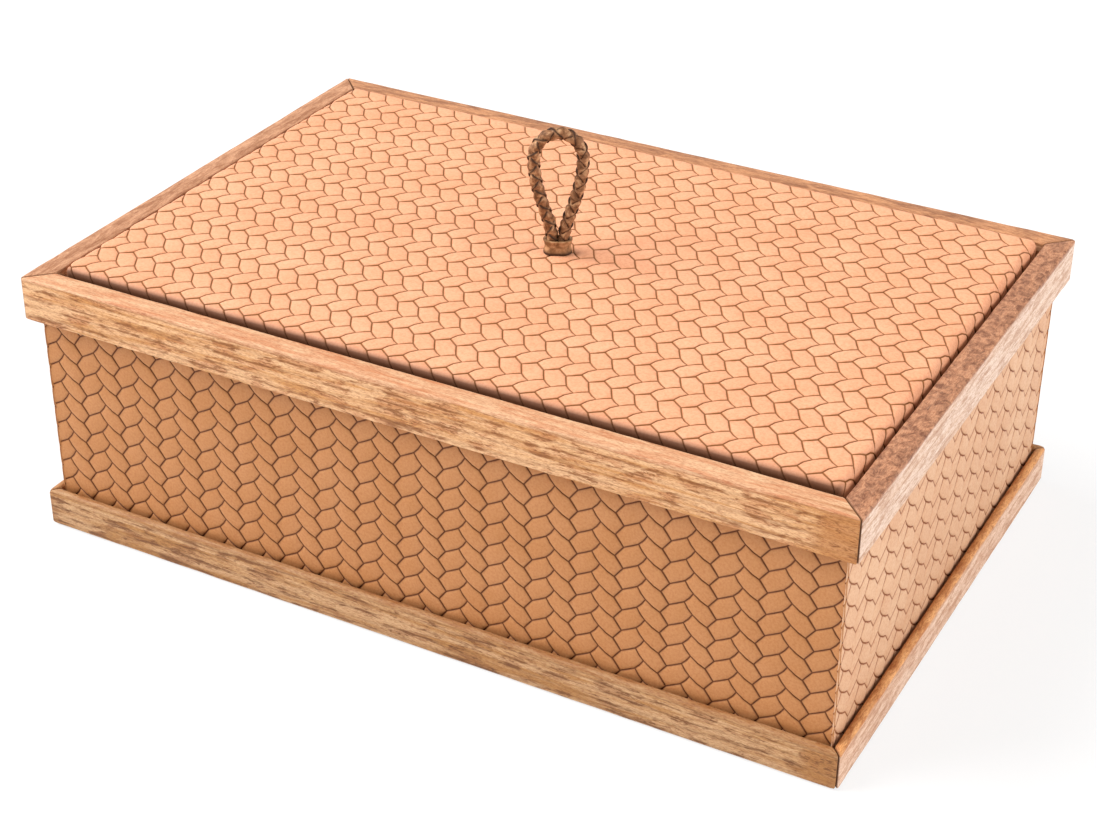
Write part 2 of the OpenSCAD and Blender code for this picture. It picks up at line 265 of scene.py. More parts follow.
# Vegetable-tanned calf embossed with a plait under a hot plate: matte, with fine pores on
# the crowns and darker in the grooves, partly dye gathered there and partly painted shade;
# on the lid, painted shade below a given height on its turned-down edge, most at the front
def embossed_leather(name, light, mid, groove, painted_shade_z=None):
    material, tree = new_material(name)
    here = add(tree, "ShaderNodeTexCoord", out="Object")

    # Uneven tanning, in patches 20 mm across
    cloud = add(tree, "ShaderNodeTexNoise", {
        "Vector": here, "Scale": 1 / (20 * MM), "Detail": 3, "Roughness": 0.55, "Distortion": 0.3})
    body = add(tree, "ShaderNodeValToRGB", {"Fac": cloud}, stops=(
        (0.36, paint(mid)), (0.64, paint(light))))

    # Grain, nearly a millimetre across
    grain = add(tree, "ShaderNodeTexNoise", {
        "Vector": here, "Scale": 1 / (0.9 * MM), "Detail": 3, "Roughness": 0.7})
    shade = add(tree, "ShaderNodeValToRGB", {"Fac": grain}, stops=(
        (0.32, paint("#E4CDBB")), (0.6, paint("#FFFFFF"))))
    body = add(tree, "ShaderNodeMix", {0: 0.6, 6: body, 7: shade}, out=2,
               data_type="RGBA", blend_type="MULTIPLY")

    # Darker in the grooves: partly dye gathered there, partly painted shade in the recess
    depth = add(tree, "ShaderNodeAttribute", out="Fac", attribute_name="groove")
    groove_dye_and_shade = add(tree, "ShaderNodeMapRange", {
        "Value": depth, "From Min": 0.05, "From Max": 0.6, "To Max": 0.95})
    body = add(tree, "ShaderNodeMix", {0: groove_dye_and_shade, 6: body, 7: paint(groove)}, out=2,
               data_type="RGBA")
    # Painted shade on the lid's turned-down edge: darker below the given height, mostly along the
    # front
    if painted_shade_z:
        height = add(tree, "ShaderNodeSeparateXYZ", {"Vector": here}, out="Z")
        low = add(tree, "ShaderNodeMapRange", {
            "Value": height, "From Min": (painted_shade_z - 1.8) * MM, "From Max": painted_shade_z * MM,
            "To Min": 1, "To Max": 0})
        behind = add(tree, "ShaderNodeSeparateXYZ", {"Vector": here}, out="Y")
        front = add(tree, "ShaderNodeMapRange", {
            "Value": behind, "From Min": lid_low.y * MM, "From Max": (lid_low.y + 4) * MM,
            "To Min": 1, "To Max": 0.12})
        painted_front_shade = add(tree, "ShaderNodeMath", {0: low, 1: front}, operation="MULTIPLY")
        body = add(tree, "ShaderNodeMix", {0: painted_front_shade, 6: body, 7: paint("#472208")}, out=2,
                   data_type="RGBA")

    pores = add(tree, "ShaderNodeTexNoise", {"Vector": here, "Scale": 1 / (0.4 * MM), "Detail": 2})
    relief = add(tree, "ShaderNodeBump", {"Height": pores, "Strength": 0.25, "Distance": 0.12 * MM})
    shader = add(tree, "ShaderNodeBsdfPrincipled", {
        "Base Color": body, "Roughness": 0.62, "Specular IOR Level": 0.3, "Normal": relief})
    add(tree, "ShaderNodeOutputMaterial", {"Surface": shader})
    return material


# Bridle leather cut in flat laces, waxed on the face, darker along the cut edges and painted with
# shade where a lace passes under the others
def lace_leather(name, dark, mid, worn):
    material, tree = new_material(name)
    here = add(tree, "ShaderNodeTexCoord", out="Object")
    wear = add(tree, "ShaderNodeTexNoise", {
        "Vector": here, "Scale": 1 / (2.6 * MM), "Detail": 4, "Roughness": 0.65, "Distortion": 0.5})
    body = add(tree, "ShaderNodeValToRGB", {"Fac": wear}, stops=(
        (0.34, paint(dark)), (0.66, paint(worn)), (0.5, paint(mid))))
    edge = add(tree, "ShaderNodeAttribute", out="Fac", attribute_name="groove")
    edge_and_under_shade = add(tree, "ShaderNodeMapRange", {
        "Value": edge, "From Min": 0.15, "From Max": 0.8, "To Max": 0.95})
    body = add(tree, "ShaderNodeMix", {0: edge_and_under_shade, 6: body, 7: paint("#341A08")}, out=2,
               data_type="RGBA")
    fine = add(tree, "ShaderNodeTexNoise", {"Vector": here, "Scale": 1 / (0.35 * MM), "Detail": 3})
    relief = add(tree, "ShaderNodeBump", {"Height": fine, "Strength": 0.35, "Distance": 0.1 * MM})
    shader = add(tree, "ShaderNodeBsdfPrincipled", {
        "Base Color": body, "Roughness": 0.6, "Specular IOR Level": 0.22, "Normal": relief})
    add(tree, "ShaderNodeOutputMaterial", {"Surface": shader})
    return material


# Napped cloth, pig suede or wool felt: short hairs that scatter light at the rim
def napped(name, dark, light, hair):
    material, tree = new_material(name)
    here = add(tree, "ShaderNodeTexCoord", out="Object")
    hairs = add(tree, "ShaderNodeTexNoise", {
        "Vector": here, "Scale": 1 / (hair * MM), "Detail": 3, "Roughness": 0.7})
    brushed = add(tree, "ShaderNodeTexNoise", {"Vector": here, "Scale": 1 / (18 * MM), "Detail": 3})
    tone = add(tree, "ShaderNodeMath", {0: hairs, 1: brushed}, operation="ADD")
    body = add(tree, "ShaderNodeMapRange", {"Value": tone, "From Min": 0.76, "From Max": 1.24})
    body = add(tree, "ShaderNodeMix", {0: body, 6: paint(dark), 7: paint(light)}, out=2,
               data_type="RGBA")
    relief = add(tree, "ShaderNodeBump", {"Height": hairs, "Strength": 0.5, "Distance": 0.3 * MM})
    shader = add(tree, "ShaderNodeBsdfPrincipled", {
        "Base Color": body, "Roughness": 0.95, "Specular IOR Level": 0.15, "Sheen Weight": 0.35,
        "Sheen Roughness": 0.5, "Normal": relief})
    add(tree, "ShaderNodeOutputMaterial", {"Surface": shader})
    return material


# Pressed wood fibre board, sawn: tangled pale fibres in a brown binder
def fibreboard(name):
    material, tree = new_material(name)
    here = add(tree, "ShaderNodeTexCoord", out="Object")
    fibres = add(tree, "ShaderNodeTexNoise", {
        "Vector": here, "Scale": 1 / (0.8 * MM), "Detail": 4, "Roughness": 0.7, "Distortion": 1.2})
    body = add(tree, "ShaderNodeValToRGB", {"Fac": fibres}, stops=(
        (0.35, paint("#7E5F3E")), (0.6, paint("#B08D63"))))
    relief = add(tree, "ShaderNodeBump", {"Height": fibres, "Strength": 0.4, "Distance": 0.2 * MM})
    shader = add(tree, "ShaderNodeBsdfPrincipled", {
        "Base Color": body, "Roughness": 0.85, "Normal": relief})
    add(tree, "ShaderNodeOutputMaterial", {"Surface": shader})
    return material


# Open-cell foam sheet, skived: small cells with pale walls
def foam_sheet(name):
    material, tree = new_material(name)
    here = add(tree, "ShaderNodeTexCoord", out="Object")
    cells = add(tree, "ShaderNodeTexVoronoi", {"Vector": here, "Scale": 1 / (0.7 * MM)},
                out="Distance")
    body = add(tree, "ShaderNodeValToRGB", {"Fac": cells}, stops=(
        (0.15, paint("#B9AE93")), (0.6, paint("#EAE2CC"))))
    shader = add(tree, "ShaderNodeBsdfPrincipled", {"Base Color": body, "Roughness": 0.95})
    add(tree, "ShaderNodeOutputMaterial", {"Surface": shader})
    return material


# Zinc-plated steel tack, drawn and stamped: grey with fine scratches
def tack_steel(name):
    material, tree = new_material(name)
    here = add(tree, "ShaderNodeTexCoord", out="Object")
    scratches = add(tree, "ShaderNodeMapping", {
        "Vector": here, "Rotation": (0, 0, 0.6), "Scale": [s * MM for s in (3, 0.1, 0.1)]},
        vector_type="TEXTURE")
    scratches = add(tree, "ShaderNodeTexNoise", {"Vector": scratches, "Scale": 1, "Detail": 2})
    rough = add(tree, "ShaderNodeMapRange", {"Value": scratches, "To Min": 0.3, "To Max": 0.5})
    shader = add(tree, "ShaderNodeBsdfPrincipled", {
        "Base Color": paint("#B4B6B8"), "Metallic": 1.0, "Roughness": rough})
    add(tree, "ShaderNodeOutputMaterial", {"Surface": shader})
    return material


# Finishing a modelled piece

# Edges shorter than this are dissolved after the cuts
SLIVER = 0.02


def boundary(bm):
    """Edges with a face on one side only."""
    return [e for e in bm.edges if e.is_boundary]


def finish_piece(bm, name, material, body, node, place=Matrix.Identity(4), crease=40):
    """Puts a piece modelled in millimetres in its place, in metres, on its body."""
    bmesh.ops.transform(bm, matrix=Matrix.Scale(MM, 4) @ place, verts=bm.verts)
    mesh = bpy.data.meshes.new(name)
    bm.to_mesh(mesh)
    bm.free()
    mesh.shade_smooth()
    mesh.set_sharp_from_angle(angle=math.radians(crease))
    mesh.materials.append(material)
    piece = bpy.data.objects.new(name, mesh)
    bpy.context.scene.collection.objects.link(piece)
    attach(piece, body)
    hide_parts(node)
    return piece


# Mitred mouldings

# Width of the eased edges, and the least angle in radians between faces that is eased
EASE = {"rim": 0.6, "base": 1.2}
EASED_ANGLE = 0.5
# Each end stands this far back from its mitre, and the base's lip from the leather
MITRE_GAP = 0.14
LIP_GAP = 0.7
# Handwork: how far the wood strays, over what length, and how far apart the eight
# lengths of moulding lie in the noise
WOBBLE = 0.14
WOBBLE_RUN = 9
WOBBLE_SEED = 17.3
# Distance between the rings of vertices along a moulding, and its spare length for the cuts
RAIL_STEP = 4
SPARE = 1


def moulding_outline(kind):
    """Section of a moulding as (depth, height) points."""
    if kind == "rim":
        width = rim_high.y - rim_low.y
        return [(0, rim_low.z), (REVEAL, rim_low.z), (REVEAL, SEAT_Z), (width, SEAT_Z),
                (width, rim_high.z), (0, rim_high.z)]
    width = base_high.y - base_low.y
    lip = REVEAL - LIP_GAP
    return [(0, 0), (width, 0), (width, FOOT_T), (lip, FOOT_T), (lip, base_high.z), (0, base_high.z)]


def trim(bm, point, normal):
    """Cuts away what lies beyond a plane."""
    bmesh.ops.bisect_plane(bm, geom=bm.verts[:] + bm.edges[:] + bm.faces[:], dist=1e-4,
                           plane_co=point, plane_no=normal, clear_outer=True)


def score(bm, point, normal):
    """Cuts a line of new edges round a piece, so that it can bend there."""
    bmesh.ops.bisect_plane(bm, geom=bm.verts[:] + bm.edges[:] + bm.faces[:], dist=1e-4,
                           plane_co=point, plane_no=normal)


def moulding(kind, side, material, seed):
    """One length of moulding, its ends mitred, its edges eased and slightly uneven."""
    half = side_length(side) / 2
    bm = bmesh.new()
    ring = [bm.verts.new((-half - SPARE, y, z)) for y, z in moulding_outline(kind)]
    edges = [bm.edges.new((ring[i], ring[(i + 1) % len(ring)])) for i in range(len(ring))]
    made = bmesh.ops.extrude_edge_only(bm, edges=edges)["geom"]
    verts = [v for v in made if isinstance(v, bmesh.types.BMVert)]
    bmesh.ops.translate(bm, vec=(2 * half + 2 * SPARE, 0, 0), verts=verts)
    for s in (-1, 1):
        trim(bm, (s * (half - MITRE_GAP), 0, 0), (s, 1, 0))
    bmesh.ops.holes_fill(bm, edges=boundary(bm), sides=0)
    bmesh.ops.recalc_face_normals(bm, faces=bm.faces)
    sharp = [e for e in bm.edges if len(e.link_faces) == 2 and e.calc_face_angle() > EASED_ANGLE]
    bmesh.ops.bevel(bm, geom=sharp, offset=EASE[kind], offset_type="OFFSET", segments=3,
                    profile=0.5, affect="EDGES", material=-1, clamp_overlap=True)
    stations = math.floor(half / RAIL_STEP)
    for k in range(-stations, stations + 1):
        score(bm, (k * RAIL_STEP, 0, 0), (1, 0, 0))
    bmesh.ops.dissolve_degenerate(bm, edges=bm.edges, dist=SLIVER)
    for vert in bm.verts:
        place = vert.co / WOBBLE_RUN + Vector((seed * WOBBLE_SEED, 0, 0))
        vert.co += WOBBLE * noise.noise_vector(place)
        vert.co.y = max(vert.co.y, 0)
        vert.co.z = max(vert.co.z, 0)
    return finish_piece(bm, f"{kind}_moulding_{side}", material, "box", f"{kind}_rail_{side}",
                        side_matrix(side))


# Plaited leather. Cells stand in columns and lean alternately right and left. Each is
# a six-sided pillow, and neighbours share their grooves.

# Each inset from the groove to the crown: its width, its height and how much it is eased
PILLOW = ((0.17, 0.24, 0), (0.22, 0.2, 0.05), (0.55, 0.2, 0.15), (0.9, 0.1, 0.25))
GROOVE_DEPTH = sum(height for width, height, ease in PILLOW)
# How far a crown sinks at both ends of its cell, and how far a pair of columns leans:
# it is low on its left and high on its right
END_DIP = 0.2
LEAN = 0.36
# How far the middle of a short side stands out and down, and of the long sides down where
# the cell leans right
END_BOW = 0.2
END_SAG = -0.12
LONG_SAG = -0.05
# Points of neighbouring cells that are nearer than this are one
WELD = 0.03
# Pairs of columns whose climb the first row makes room for
MOST_PAIRS = 20


class Plait:
    """A plait: width of a column, height of a cell, sway of the column edges, rise of a
    cell across its column, how much two columns climb, how much the long sides of the
    cells that lean left bow down, and one cell's (column, height)."""

    def __init__(self, column, pitch, sway, rise, climb, bow, origin):
        self.column = column
        self.pitch = pitch
        self.sway = sway
        self.rise = rise
        self.climb = climb
        self.bow = bow
        self.origin = origin


WALL_PLAIT = {
    "front": Plait(8.02, 7.88, 1.46, 2.89, -0.16, -0.32, (46.1, 42.9)),
    "right": Plait(8.13, 8.02, 1.5, 2.85, -0.13, -0.32, (-33.2, 43.5)),
}
WALL_PLAIT["back"] = WALL_PLAIT["front"]
WALL_PLAIT["left"] = WALL_PLAIT["right"]
LID_PLAIT = Plait(8.16, 7.94, 1.5, 2.75, 0.22, -0.55, (59.9, 70.3))


def plait_cell(bm, plait, hand, at):
    """One pillow of leather; hand is 1 if it leans right and -1 if it leans left."""
    wide, half = plait.column / 2, plait.pitch / 2
    sway, rise = plait.sway, plait.rise + hand * plait.climb / 2
    long_bow = (0, LONG_SAG if hand > 0 else plait.bow)
    sides = [((-wide - sway, 0), (0, 0)), ((-wide + sway, -half), long_bow),
             ((wide - sway, rise - half), (END_BOW, END_SAG)),
             ((wide + sway, rise), (-END_BOW, END_SAG)),
             ((wide - sway, rise + half), long_bow), ((-wide + sway, half), (0, 0))]
    outline = []
    for i, ((x, y), bow) in enumerate(sides):
        next_x, next_y = sides[(i + 1) % 6][0]
        outline += [(x, y), ((x + next_x) / 2 + bow[0], (y + next_y) / 2 + bow[1])]
    ring = [bm.verts.new((hand * x + at[0], y + at[1], -GROOVE_DEPTH)) for x, y in outline[::hand]]
    face = bm.faces.new(ring)
    face.normal_update()
    groove = bm.verts.layers.float["groove"]
    for vert in ring:
        vert[groove] = 1
    crown = []
    for width, height, ease in PILLOW:
        bmesh.ops.inset_individual(bm, faces=[face], thickness=width, depth=height)
        bmesh.ops.smooth_vert(bm, verts=face.verts, factor=ease, use_axis_x=True, use_axis_y=True)
        crown += face.verts
    for vert in crown:
        across = max(-1, min(1, (vert.co.x - at[0]) / wide))
        raised = 1 + vert.co.z / GROOVE_DEPTH
        # The groove attribute grows towards the groove floor; the leather darkens with it, as dye
        # and painted shade
        vert[groove] = (1 - raised) ** 3 * 2
        low = (1 - across + (2 if hand > 0 else 0)) / 4
        vert.co.z -= raised * (END_DIP * abs(across) ** 3 + LEAN * low)


def plaited_field(plait, low, high):
    """Flat sheet of cells from low to high (across the columns, along them). Crowns lie at
    height 0. A pair of cells is repeated by two arrays, and the copies are welded."""
    bm = bmesh.new()
    bm.verts.layers.float.new("groove")
    pair = 2 * plait.column
    back = math.ceil((plait.origin[0] - low[0]) / pair) + 1
    most_climb = abs(plait.climb) * MOST_PAIRS
    down = math.ceil((plait.origin[1] - low[1] + most_climb) / plait.pitch) + 1
    start = (plait.origin[0] - pair * back,
             plait.origin[1] - plait.pitch * down - plait.climb * back)
    plait_cell(bm, plait, 1, start)
    plait_cell(bm, plait, -1, (start[0] + plait.column, start[1] - plait.pitch / 2 + plait.climb))
    mesh = bpy.data.meshes.new("pair_of_cells")
    bm.to_mesh(mesh)
    bm.free()
    cells = bpy.data.objects.new("pair_of_cells", mesh)
    bpy.context.scene.collection.objects.link(cells)
    across = math.ceil((high[0] - start[0]) / pair) + 2
    along = math.ceil((high[1] - start[1] + abs(plait.climb) * across) / plait.pitch) + 2
    for count, step in ((across, (pair, plait.climb, 0)), (along, (0, plait.pitch, 0))):
        row = cells.modifiers.new("row", "ARRAY")
        row.use_relative_offset = False
        row.use_constant_offset = True
        row.constant_offset_displace = step
        row.count = count
    field = bmesh.new()
    field.from_mesh(cells.evaluated_get(bpy.context.evaluated_depsgraph_get()).to_mesh())
    bpy.data.objects.remove(cells)
    bmesh.ops.remove_doubles(field, verts=field.verts, dist=WELD)
    trim(field, (low[0], 0, 0), (-1, 0, 0))
    trim(field, (high[0], 0, 0), (1, 0, 0))
    trim(field, (0, low[1], 0), (0, -1, 0))
    trim(field, (0, high[1], 0), (0, 1, 0))
    return field


# How near a wall's end its leather starts to roll back, and how thin it may get there
SKIN_ROLL = 0.3
SKIN_LEAST = 0.3


def wall_leather(side, material):
    """Embossed leather of one wall, mitred to its neighbours at the corners of the box."""
    half = side_length(side) / 2 - REVEAL
    bm = plaited_field(WALL_PLAIT[side], (-half, skin_low.z), (half, skin_high.z))
    for end in (-1, 1):
        score(bm, (end * (half - SKIN_ROLL), 0, 0), (1, 0, 0))
        score(bm, (end * (half - SKIN_ROLL / 3), 0, 0), (1, 0, 0))
    for vert in bm.verts:
        past = max(0, abs(vert.co.x) - (half - SKIN_ROLL))
        vert.co.z = max(vert.co.z - past ** 2 / SKIN_ROLL / 2, SKIN_LEAST - SKIN_T)
    bmesh.ops.dissolve_degenerate(bm, edges=bm.edges, dist=SLIVER)
    made = bmesh.ops.extrude_edge_only(bm, edges=boundary(bm))["geom"]
    for vert in [v for v in made if isinstance(v, bmesh.types.BMVert)]:
        vert.co.x = max(-half + SKIN_T, min(half - SKIN_T, vert.co.x))
        vert.co.z = -SKIN_T
    bmesh.ops.holes_fill(bm, edges=boundary(bm), sides=0)
    stand = Matrix.Translation((0, REVEAL, 0)) @ Matrix.Rotation(math.radians(90), 4, "X")
    return finish_piece(bm, f"plaited_leather_{side}", material, "box", f"leather_{side}",
                        side_matrix(side) @ stand, 60)


# Radius of the lid's upper edge and the number of its bends
LID_ROLL = 3.0
ROLL_BENDS = 4
# Round the lower edge: a first small cut, the turn's radius, how far the leather is turned
# in under the board, and how thick it is there
TURN_CUT = 0.25
TURN_R = 0.8
TURN_IN = 14
TURN_T = SKIN_T + 0.2


def rolled(x, y, height, half):
    """A point of the flat lid leather wrapped over the lid's edge."""
    core = half[0] - LID_ROLL, half[1] - LID_ROLL
    past = Vector((max(0, abs(x) - core[0]), max(0, abs(y) - core[1])))
    run = past.length
    base = Vector((min(abs(x), core[0]), min(abs(y), core[1])))
    way = past.normalized() if run > 0 else Vector((0, 0))
    angle = min(run / LID_ROLL, math.pi / 2)
    out = (LID_ROLL + height) * math.sin(angle)
    down = (LID_ROLL + height) * math.cos(angle) - LID_ROLL - max(0, run - LID_ROLL * math.pi / 2)
    flat = base + way * out
    return Vector((math.copysign(flat.x, x), math.copysign(flat.y, y), lid_high.z + down))


def lid_cover(material):
    """Embossed leather wrapped over the lid and turned in under its board. Its columns
    run along the length of the box."""
    half = lid_high.x, lid_high.y
    skirt = LID_ROLL * (math.pi / 2 - 1) + (lid_high.z - lid_low.z)
    reach = half[1] + skirt, half[0] + skirt
    bm = plaited_field(LID_PLAIT, (-reach[0], -reach[1]), reach)
    for s in (-1, 1):
        for k in range(ROLL_BENDS + 1):
            bend = LID_ROLL * (math.pi / 2 * k / ROLL_BENDS - 1)
            score(bm, (s * (half[1] + bend), 0, 0), (1, 0, 0))
            score(bm, (0, s * (half[0] + bend), 0), (0, 1, 0))
    for vert in bm.verts:
        across, along, height = vert.co
        vert.co = rolled(along, -across, height, half)
    trim(bm, (0, 0, lid_low.z + TURN_R), (0, 0, -1))
    bmesh.ops.dissolve_degenerate(bm, edges=bm.edges, dist=WELD)
    edges = boundary(bm)
    for inset, z in ((TURN_CUT, lid_low.z + TURN_CUT), (TURN_R, lid_low.z), (TURN_IN, lid_low.z),
                     (TURN_IN, lid_low.z + TURN_T)):
        made = bmesh.ops.extrude_edge_only(bm, edges=edges)["geom"]
        edges = [e for e in made if isinstance(e, bmesh.types.BMEdge)]
        verts = [v for v in made if isinstance(v, bmesh.types.BMVert)]
        now = max(v.co.x for v in verts), max(v.co.y for v in verts)
        goal = half[0] - inset, half[1] - inset
        bmesh.ops.scale(bm, vec=(goal[0] / now[0], goal[1] / now[1], 1), verts=verts)
        for vert in verts:
            vert.co.z = z
    bmesh.ops.holes_fill(bm, edges=edges, sides=0)
    return finish_piece(bm, "lid_plaited_leather", material, "lid", "lid_leather",
                        crease=60)


# Braided pull. The cord's guide is the CAD model's: a curve up from the lid, a half
# ellipse over the top, and flattened tails folded out in the pocket under the board.

# The cord, its loop above the lid and its tails
CORD_R = 2.15
LEG_GAP = 3.9
LEG_TOUCH = 0.1
LOOP_BELLY = 35
LOOP_W = 21
LOOP_TURN = math.radians(28)
BRAID_PITCH = 11.6
TAIL_L, TAIL_W, TAIL_T = 9, 6, 1.9
TAIL_BEND = 2
# Pull of the curve's two ends as shares of the height that it rises
LOW_PULL, HIGH_PULL = 0.36, 0.62
# Points on the guide for a tail's bend and for each curve
BEND_STEPS = 6
GUIDE_STEPS = 24
# A lace: its width and thickness, how far it weaves in and out, its length between rings
LACE_W, LACE_T, LACE_SWING = 4.3, 0.9, 0.55
LACE_STEP = 0.5
COLLAR_T = 0.9
COLLAR_H = collar_high.z - collar_low.z
LID_TOP = lid_high.z
TAIL_MID = loop_low.z + TAIL_T / 2 - LID_TOP
BELLY_X = LOOP_W / 2 - CORD_R
ARCH_H = loop_high.z - LID_TOP - CORD_R - LOOP_BELLY


def bezier(a, b, c, d, t):
    """A cubic curve from a to d, pulled towards b and c."""
    return a * (1 - t) ** 3 + 3 * b * t * (1 - t) ** 2 + 3 * c * t ** 2 * (1 - t) + d * t ** 3


def loop_guide():
    """Points of the cord's middle as (across, height, half-thickness, half-width)."""
    half = [(LEG_GAP / 2 + TAIL_L, TAIL_MID, TAIL_T / 2, TAIL_W / 2)]
    for i in range(BEND_STEPS + 1):
        mix = i / BEND_STEPS
        angle = math.pi / 2 * mix
        half.append((LEG_GAP / 2 + TAIL_BEND * (1 - math.sin(angle)),
                     TAIL_MID + TAIL_BEND * (1 - math.cos(angle)),
                     TAIL_T / 2 * (1 - mix) + (LEG_GAP - LEG_TOUCH) / 2 * mix,
                     TAIL_W / 2 + (CORD_R - TAIL_W / 2) * math.sin(angle)))
    for i in range(GUIDE_STEPS):
        t = i / GUIDE_STEPS
        x = bezier(LEG_GAP / 2, LEG_GAP / 2, BELLY_X, BELLY_X, t)
        z = bezier(COLLAR_H * 0.75, LOOP_BELLY * LOW_PULL, LOOP_BELLY * HIGH_PULL, LOOP_BELLY, t)
        half.append((x, z, min(CORD_R, x - LEG_TOUCH / 2), CORD_R))
    for i in range(GUIDE_STEPS + 1):
        angle = math.pi / 2 * i / GUIDE_STEPS
        x, z = BELLY_X * math.cos(angle), LOOP_BELLY + ARCH_H * math.sin(angle)
        half.append((x, z, CORD_R, CORD_R))
    points = half + [(-x, z, t, w) for x, z, t, w in half[-2::-1]]
    return [Vector(p) for p in points]


def evenly(points, step):
    """The guide at even distances along it, each with the distance run and the heading."""
    run = [0]
    for a, b in zip(points, points[1:]):
        run.append(run[-1] + (b.xy - a.xy).length)
    count = round(run[-1] / step)
    made = []
    for k in range(count + 1):
        s = run[-1] * k / count
        i = min(sum(r <= s for r in run), len(run) - 1) - 1
        mix = (s - run[i]) / (run[i + 1] - run[i])
        made.append((s, points[i].lerp(points[i + 1], mix)))
    headings = [(made[min(k + 1, count)][1].xy - made[max(k - 1, 0)][1].xy).normalized()
                for k in range(count + 1)]
    return [(s, p, h) for (s, p), h in zip(made, headings)]


# Half of a lace's section as (across, outwards, darkness of the edge), and how far its
# edges bend down round the cord
LACE_HALF = ((0.0, 0.5, 0), (0.32, 0.47, 0), (0.45, 0.36, 0.5), (0.5, 0.05, 1), (0.47, -0.42, 1),
             (0.25, -0.5, 0.8))
LACE_CURL = 0.45


def lace_section():
    """Section of a flat lace that is bent a little round the cord."""
    whole = list(LACE_HALF) + [(0, -0.5, 0.8)] + [(-x, y, dark) for x, y, dark in LACE_HALF[:0:-1]]
    return [(x * LACE_W, y * LACE_T - LACE_CURL * (2 * x) ** 2, dark) for x, y, dark in whole]


def lace(bm, stations, start, hand):
    """One lace of the braid, swept along the guide: it turns round the cord and weaves
    over and under the laces that turn the other way."""
    edge_dark_and_shade = bm.verts.layers.float["groove"]
    weave = CORD_R - LACE_SWING - LACE_T / 2
    slope = hand * math.atan(2 * math.pi * weave / BRAID_PITCH)
    section = lace_section()
    verts = [bm.verts.new() for _ in section]
    edges = [bm.edges.new((verts[i - 1], vert)) for i, vert in enumerate(verts)]
    ends = [list(edges)]
    for place, (run, point, heading) in enumerate(stations):
        if place:
            made = bmesh.ops.extrude_edge_only(bm, edges=edges)["geom"]
            edges = [e for e in made if isinstance(e, bmesh.types.BMEdge)]
            verts = [v for v in made if isinstance(v, bmesh.types.BMVert)]
        turn = start + hand * 2 * math.pi * run / BRAID_PITCH
        swing = hand * math.cos(2 * turn)
        radius = weave + LACE_SWING * swing
        seen = turn + math.pi / 4
        ahead = Vector((heading.x, 0, heading.y))
        inwards = Vector((-heading.y, 0, heading.x))
        sideways = Vector((0, 1, 0))
        outwards = math.cos(seen) * inwards + math.sin(seen) * sideways
        around = math.cos(seen) * sideways - math.sin(seen) * inwards
        across = math.cos(slope) * around - math.sin(slope) * ahead
        for vert, (x, y, dark) in zip(verts, section):
            offset = (radius + y) * outwards + x * across
            flat = offset.dot(inwards) * point[2] / CORD_R
            side = offset.y * point[3] / CORD_R
            vert.co = Vector((point.x, 0, point.y)) + flat * inwards + side * sideways
            vert.co += offset.dot(ahead) * ahead
            # Painted shade: where a lace passes under the others (swing below zero) it is darkened
            vert[edge_dark_and_shade] = max(dark, -swing)
    ends.append(edges)
    for loop_edges in ends:
        bmesh.ops.holes_fill(bm, edges=loop_edges, sides=0)


def pull_loop(material):
    """The cord: four laces, two turning each way."""
    bm = bmesh.new()
    bm.verts.layers.float.new("groove")
    stations = evenly(loop_guide(), LACE_STEP)
    for hand in (-1, 1):
        for start in (0, math.pi):
            lace(bm, stations, start, hand)
    bmesh.ops.recalc_face_normals(bm, faces=bm.faces)
    place = Matrix.Rotation(LOOP_TURN, 4, "Z") @ Matrix.Translation((0, 0, LID_TOP))
    return finish_piece(bm, "braided_loop", material, "lid", "pull_loop", place)


# Room between cord and collar, and how much nearer to the middle than the legs the
# collar's round ends stand
CORD_ROOM = 0.3
COLLAR_PINCH = 0.3
# The collar's rings from the bottom up: height, size and how dark it is painted there, darkest at
# the foot as painted shade where it meets the lid
COLLAR_RINGS = ((0.5, 1.0, 0.8), (1.2, 0.96, 0.3), (2.6, 0.91, 0), (3.8, 0.94, 0),
                (COLLAR_H - 0.4, 1.01, 0), (COLLAR_H, 1.02, 0))


def collar(material):
    """Leather strip wrapped round both legs, flared at its top and bottom."""
    straight = LEG_GAP / 2 - COLLAR_PINCH
    radius = CORD_R + CORD_ROOM + COLLAR_T
    bm = bmesh.new()
    edge_dark_and_shade = bm.verts.layers.float.new("groove")
    made = bmesh.ops.create_circle(bm, cap_ends=False, segments=48, radius=radius)
    # The foot ring is painted darkest, as shade where the collar meets the lid
    for vert in made["verts"]:
        vert.co.x += math.copysign(straight, vert.co.x) if abs(vert.co.x) > 1e-6 else 0
        vert[edge_dark_and_shade] = 1
    edges = bm.edges[:]
    now = 1
    for height, flare, dark in COLLAR_RINGS:
        made = bmesh.ops.extrude_edge_only(bm, edges=edges)["geom"]
        edges = [e for e in made if isinstance(e, bmesh.types.BMEdge)]
        verts = [v for v in made if isinstance(v, bmesh.types.BMVert)]
        bmesh.ops.scale(bm, vec=(flare / now, flare / now, 1), verts=verts)
        now = flare
        for vert in verts:
            vert.co.z = height
            vert[edge_dark_and_shade] = dark
    bmesh.ops.recalc_face_normals(bm, faces=bm.faces)
    bmesh.ops.solidify(bm, geom=bm.faces[:], thickness=COLLAR_T)
    bmesh.ops.recalc_face_normals(bm, faces=bm.faces)
    place = Matrix.Rotation(LOOP_TURN, 4, "Z") @ Matrix.Translation((0, 0, LID_TOP))
    return finish_piece(bm, "leather_collar", material, "lid", "pull_collar", place)


# Studio

def make_lamp(name, at, size, watts, target=Vector((0, 0, 0.05))):
    data = bpy.data.lights.new(name, "AREA")
    data.energy = watts
    data.size = size
    lamp = bpy.data.objects.new(name, data)
    lamp.location = at
    lamp.rotation_euler = (target - Vector(at)).to_track_quat("-Z", "Y").to_euler()
    bpy.context.scene.collection.objects.link(lamp)


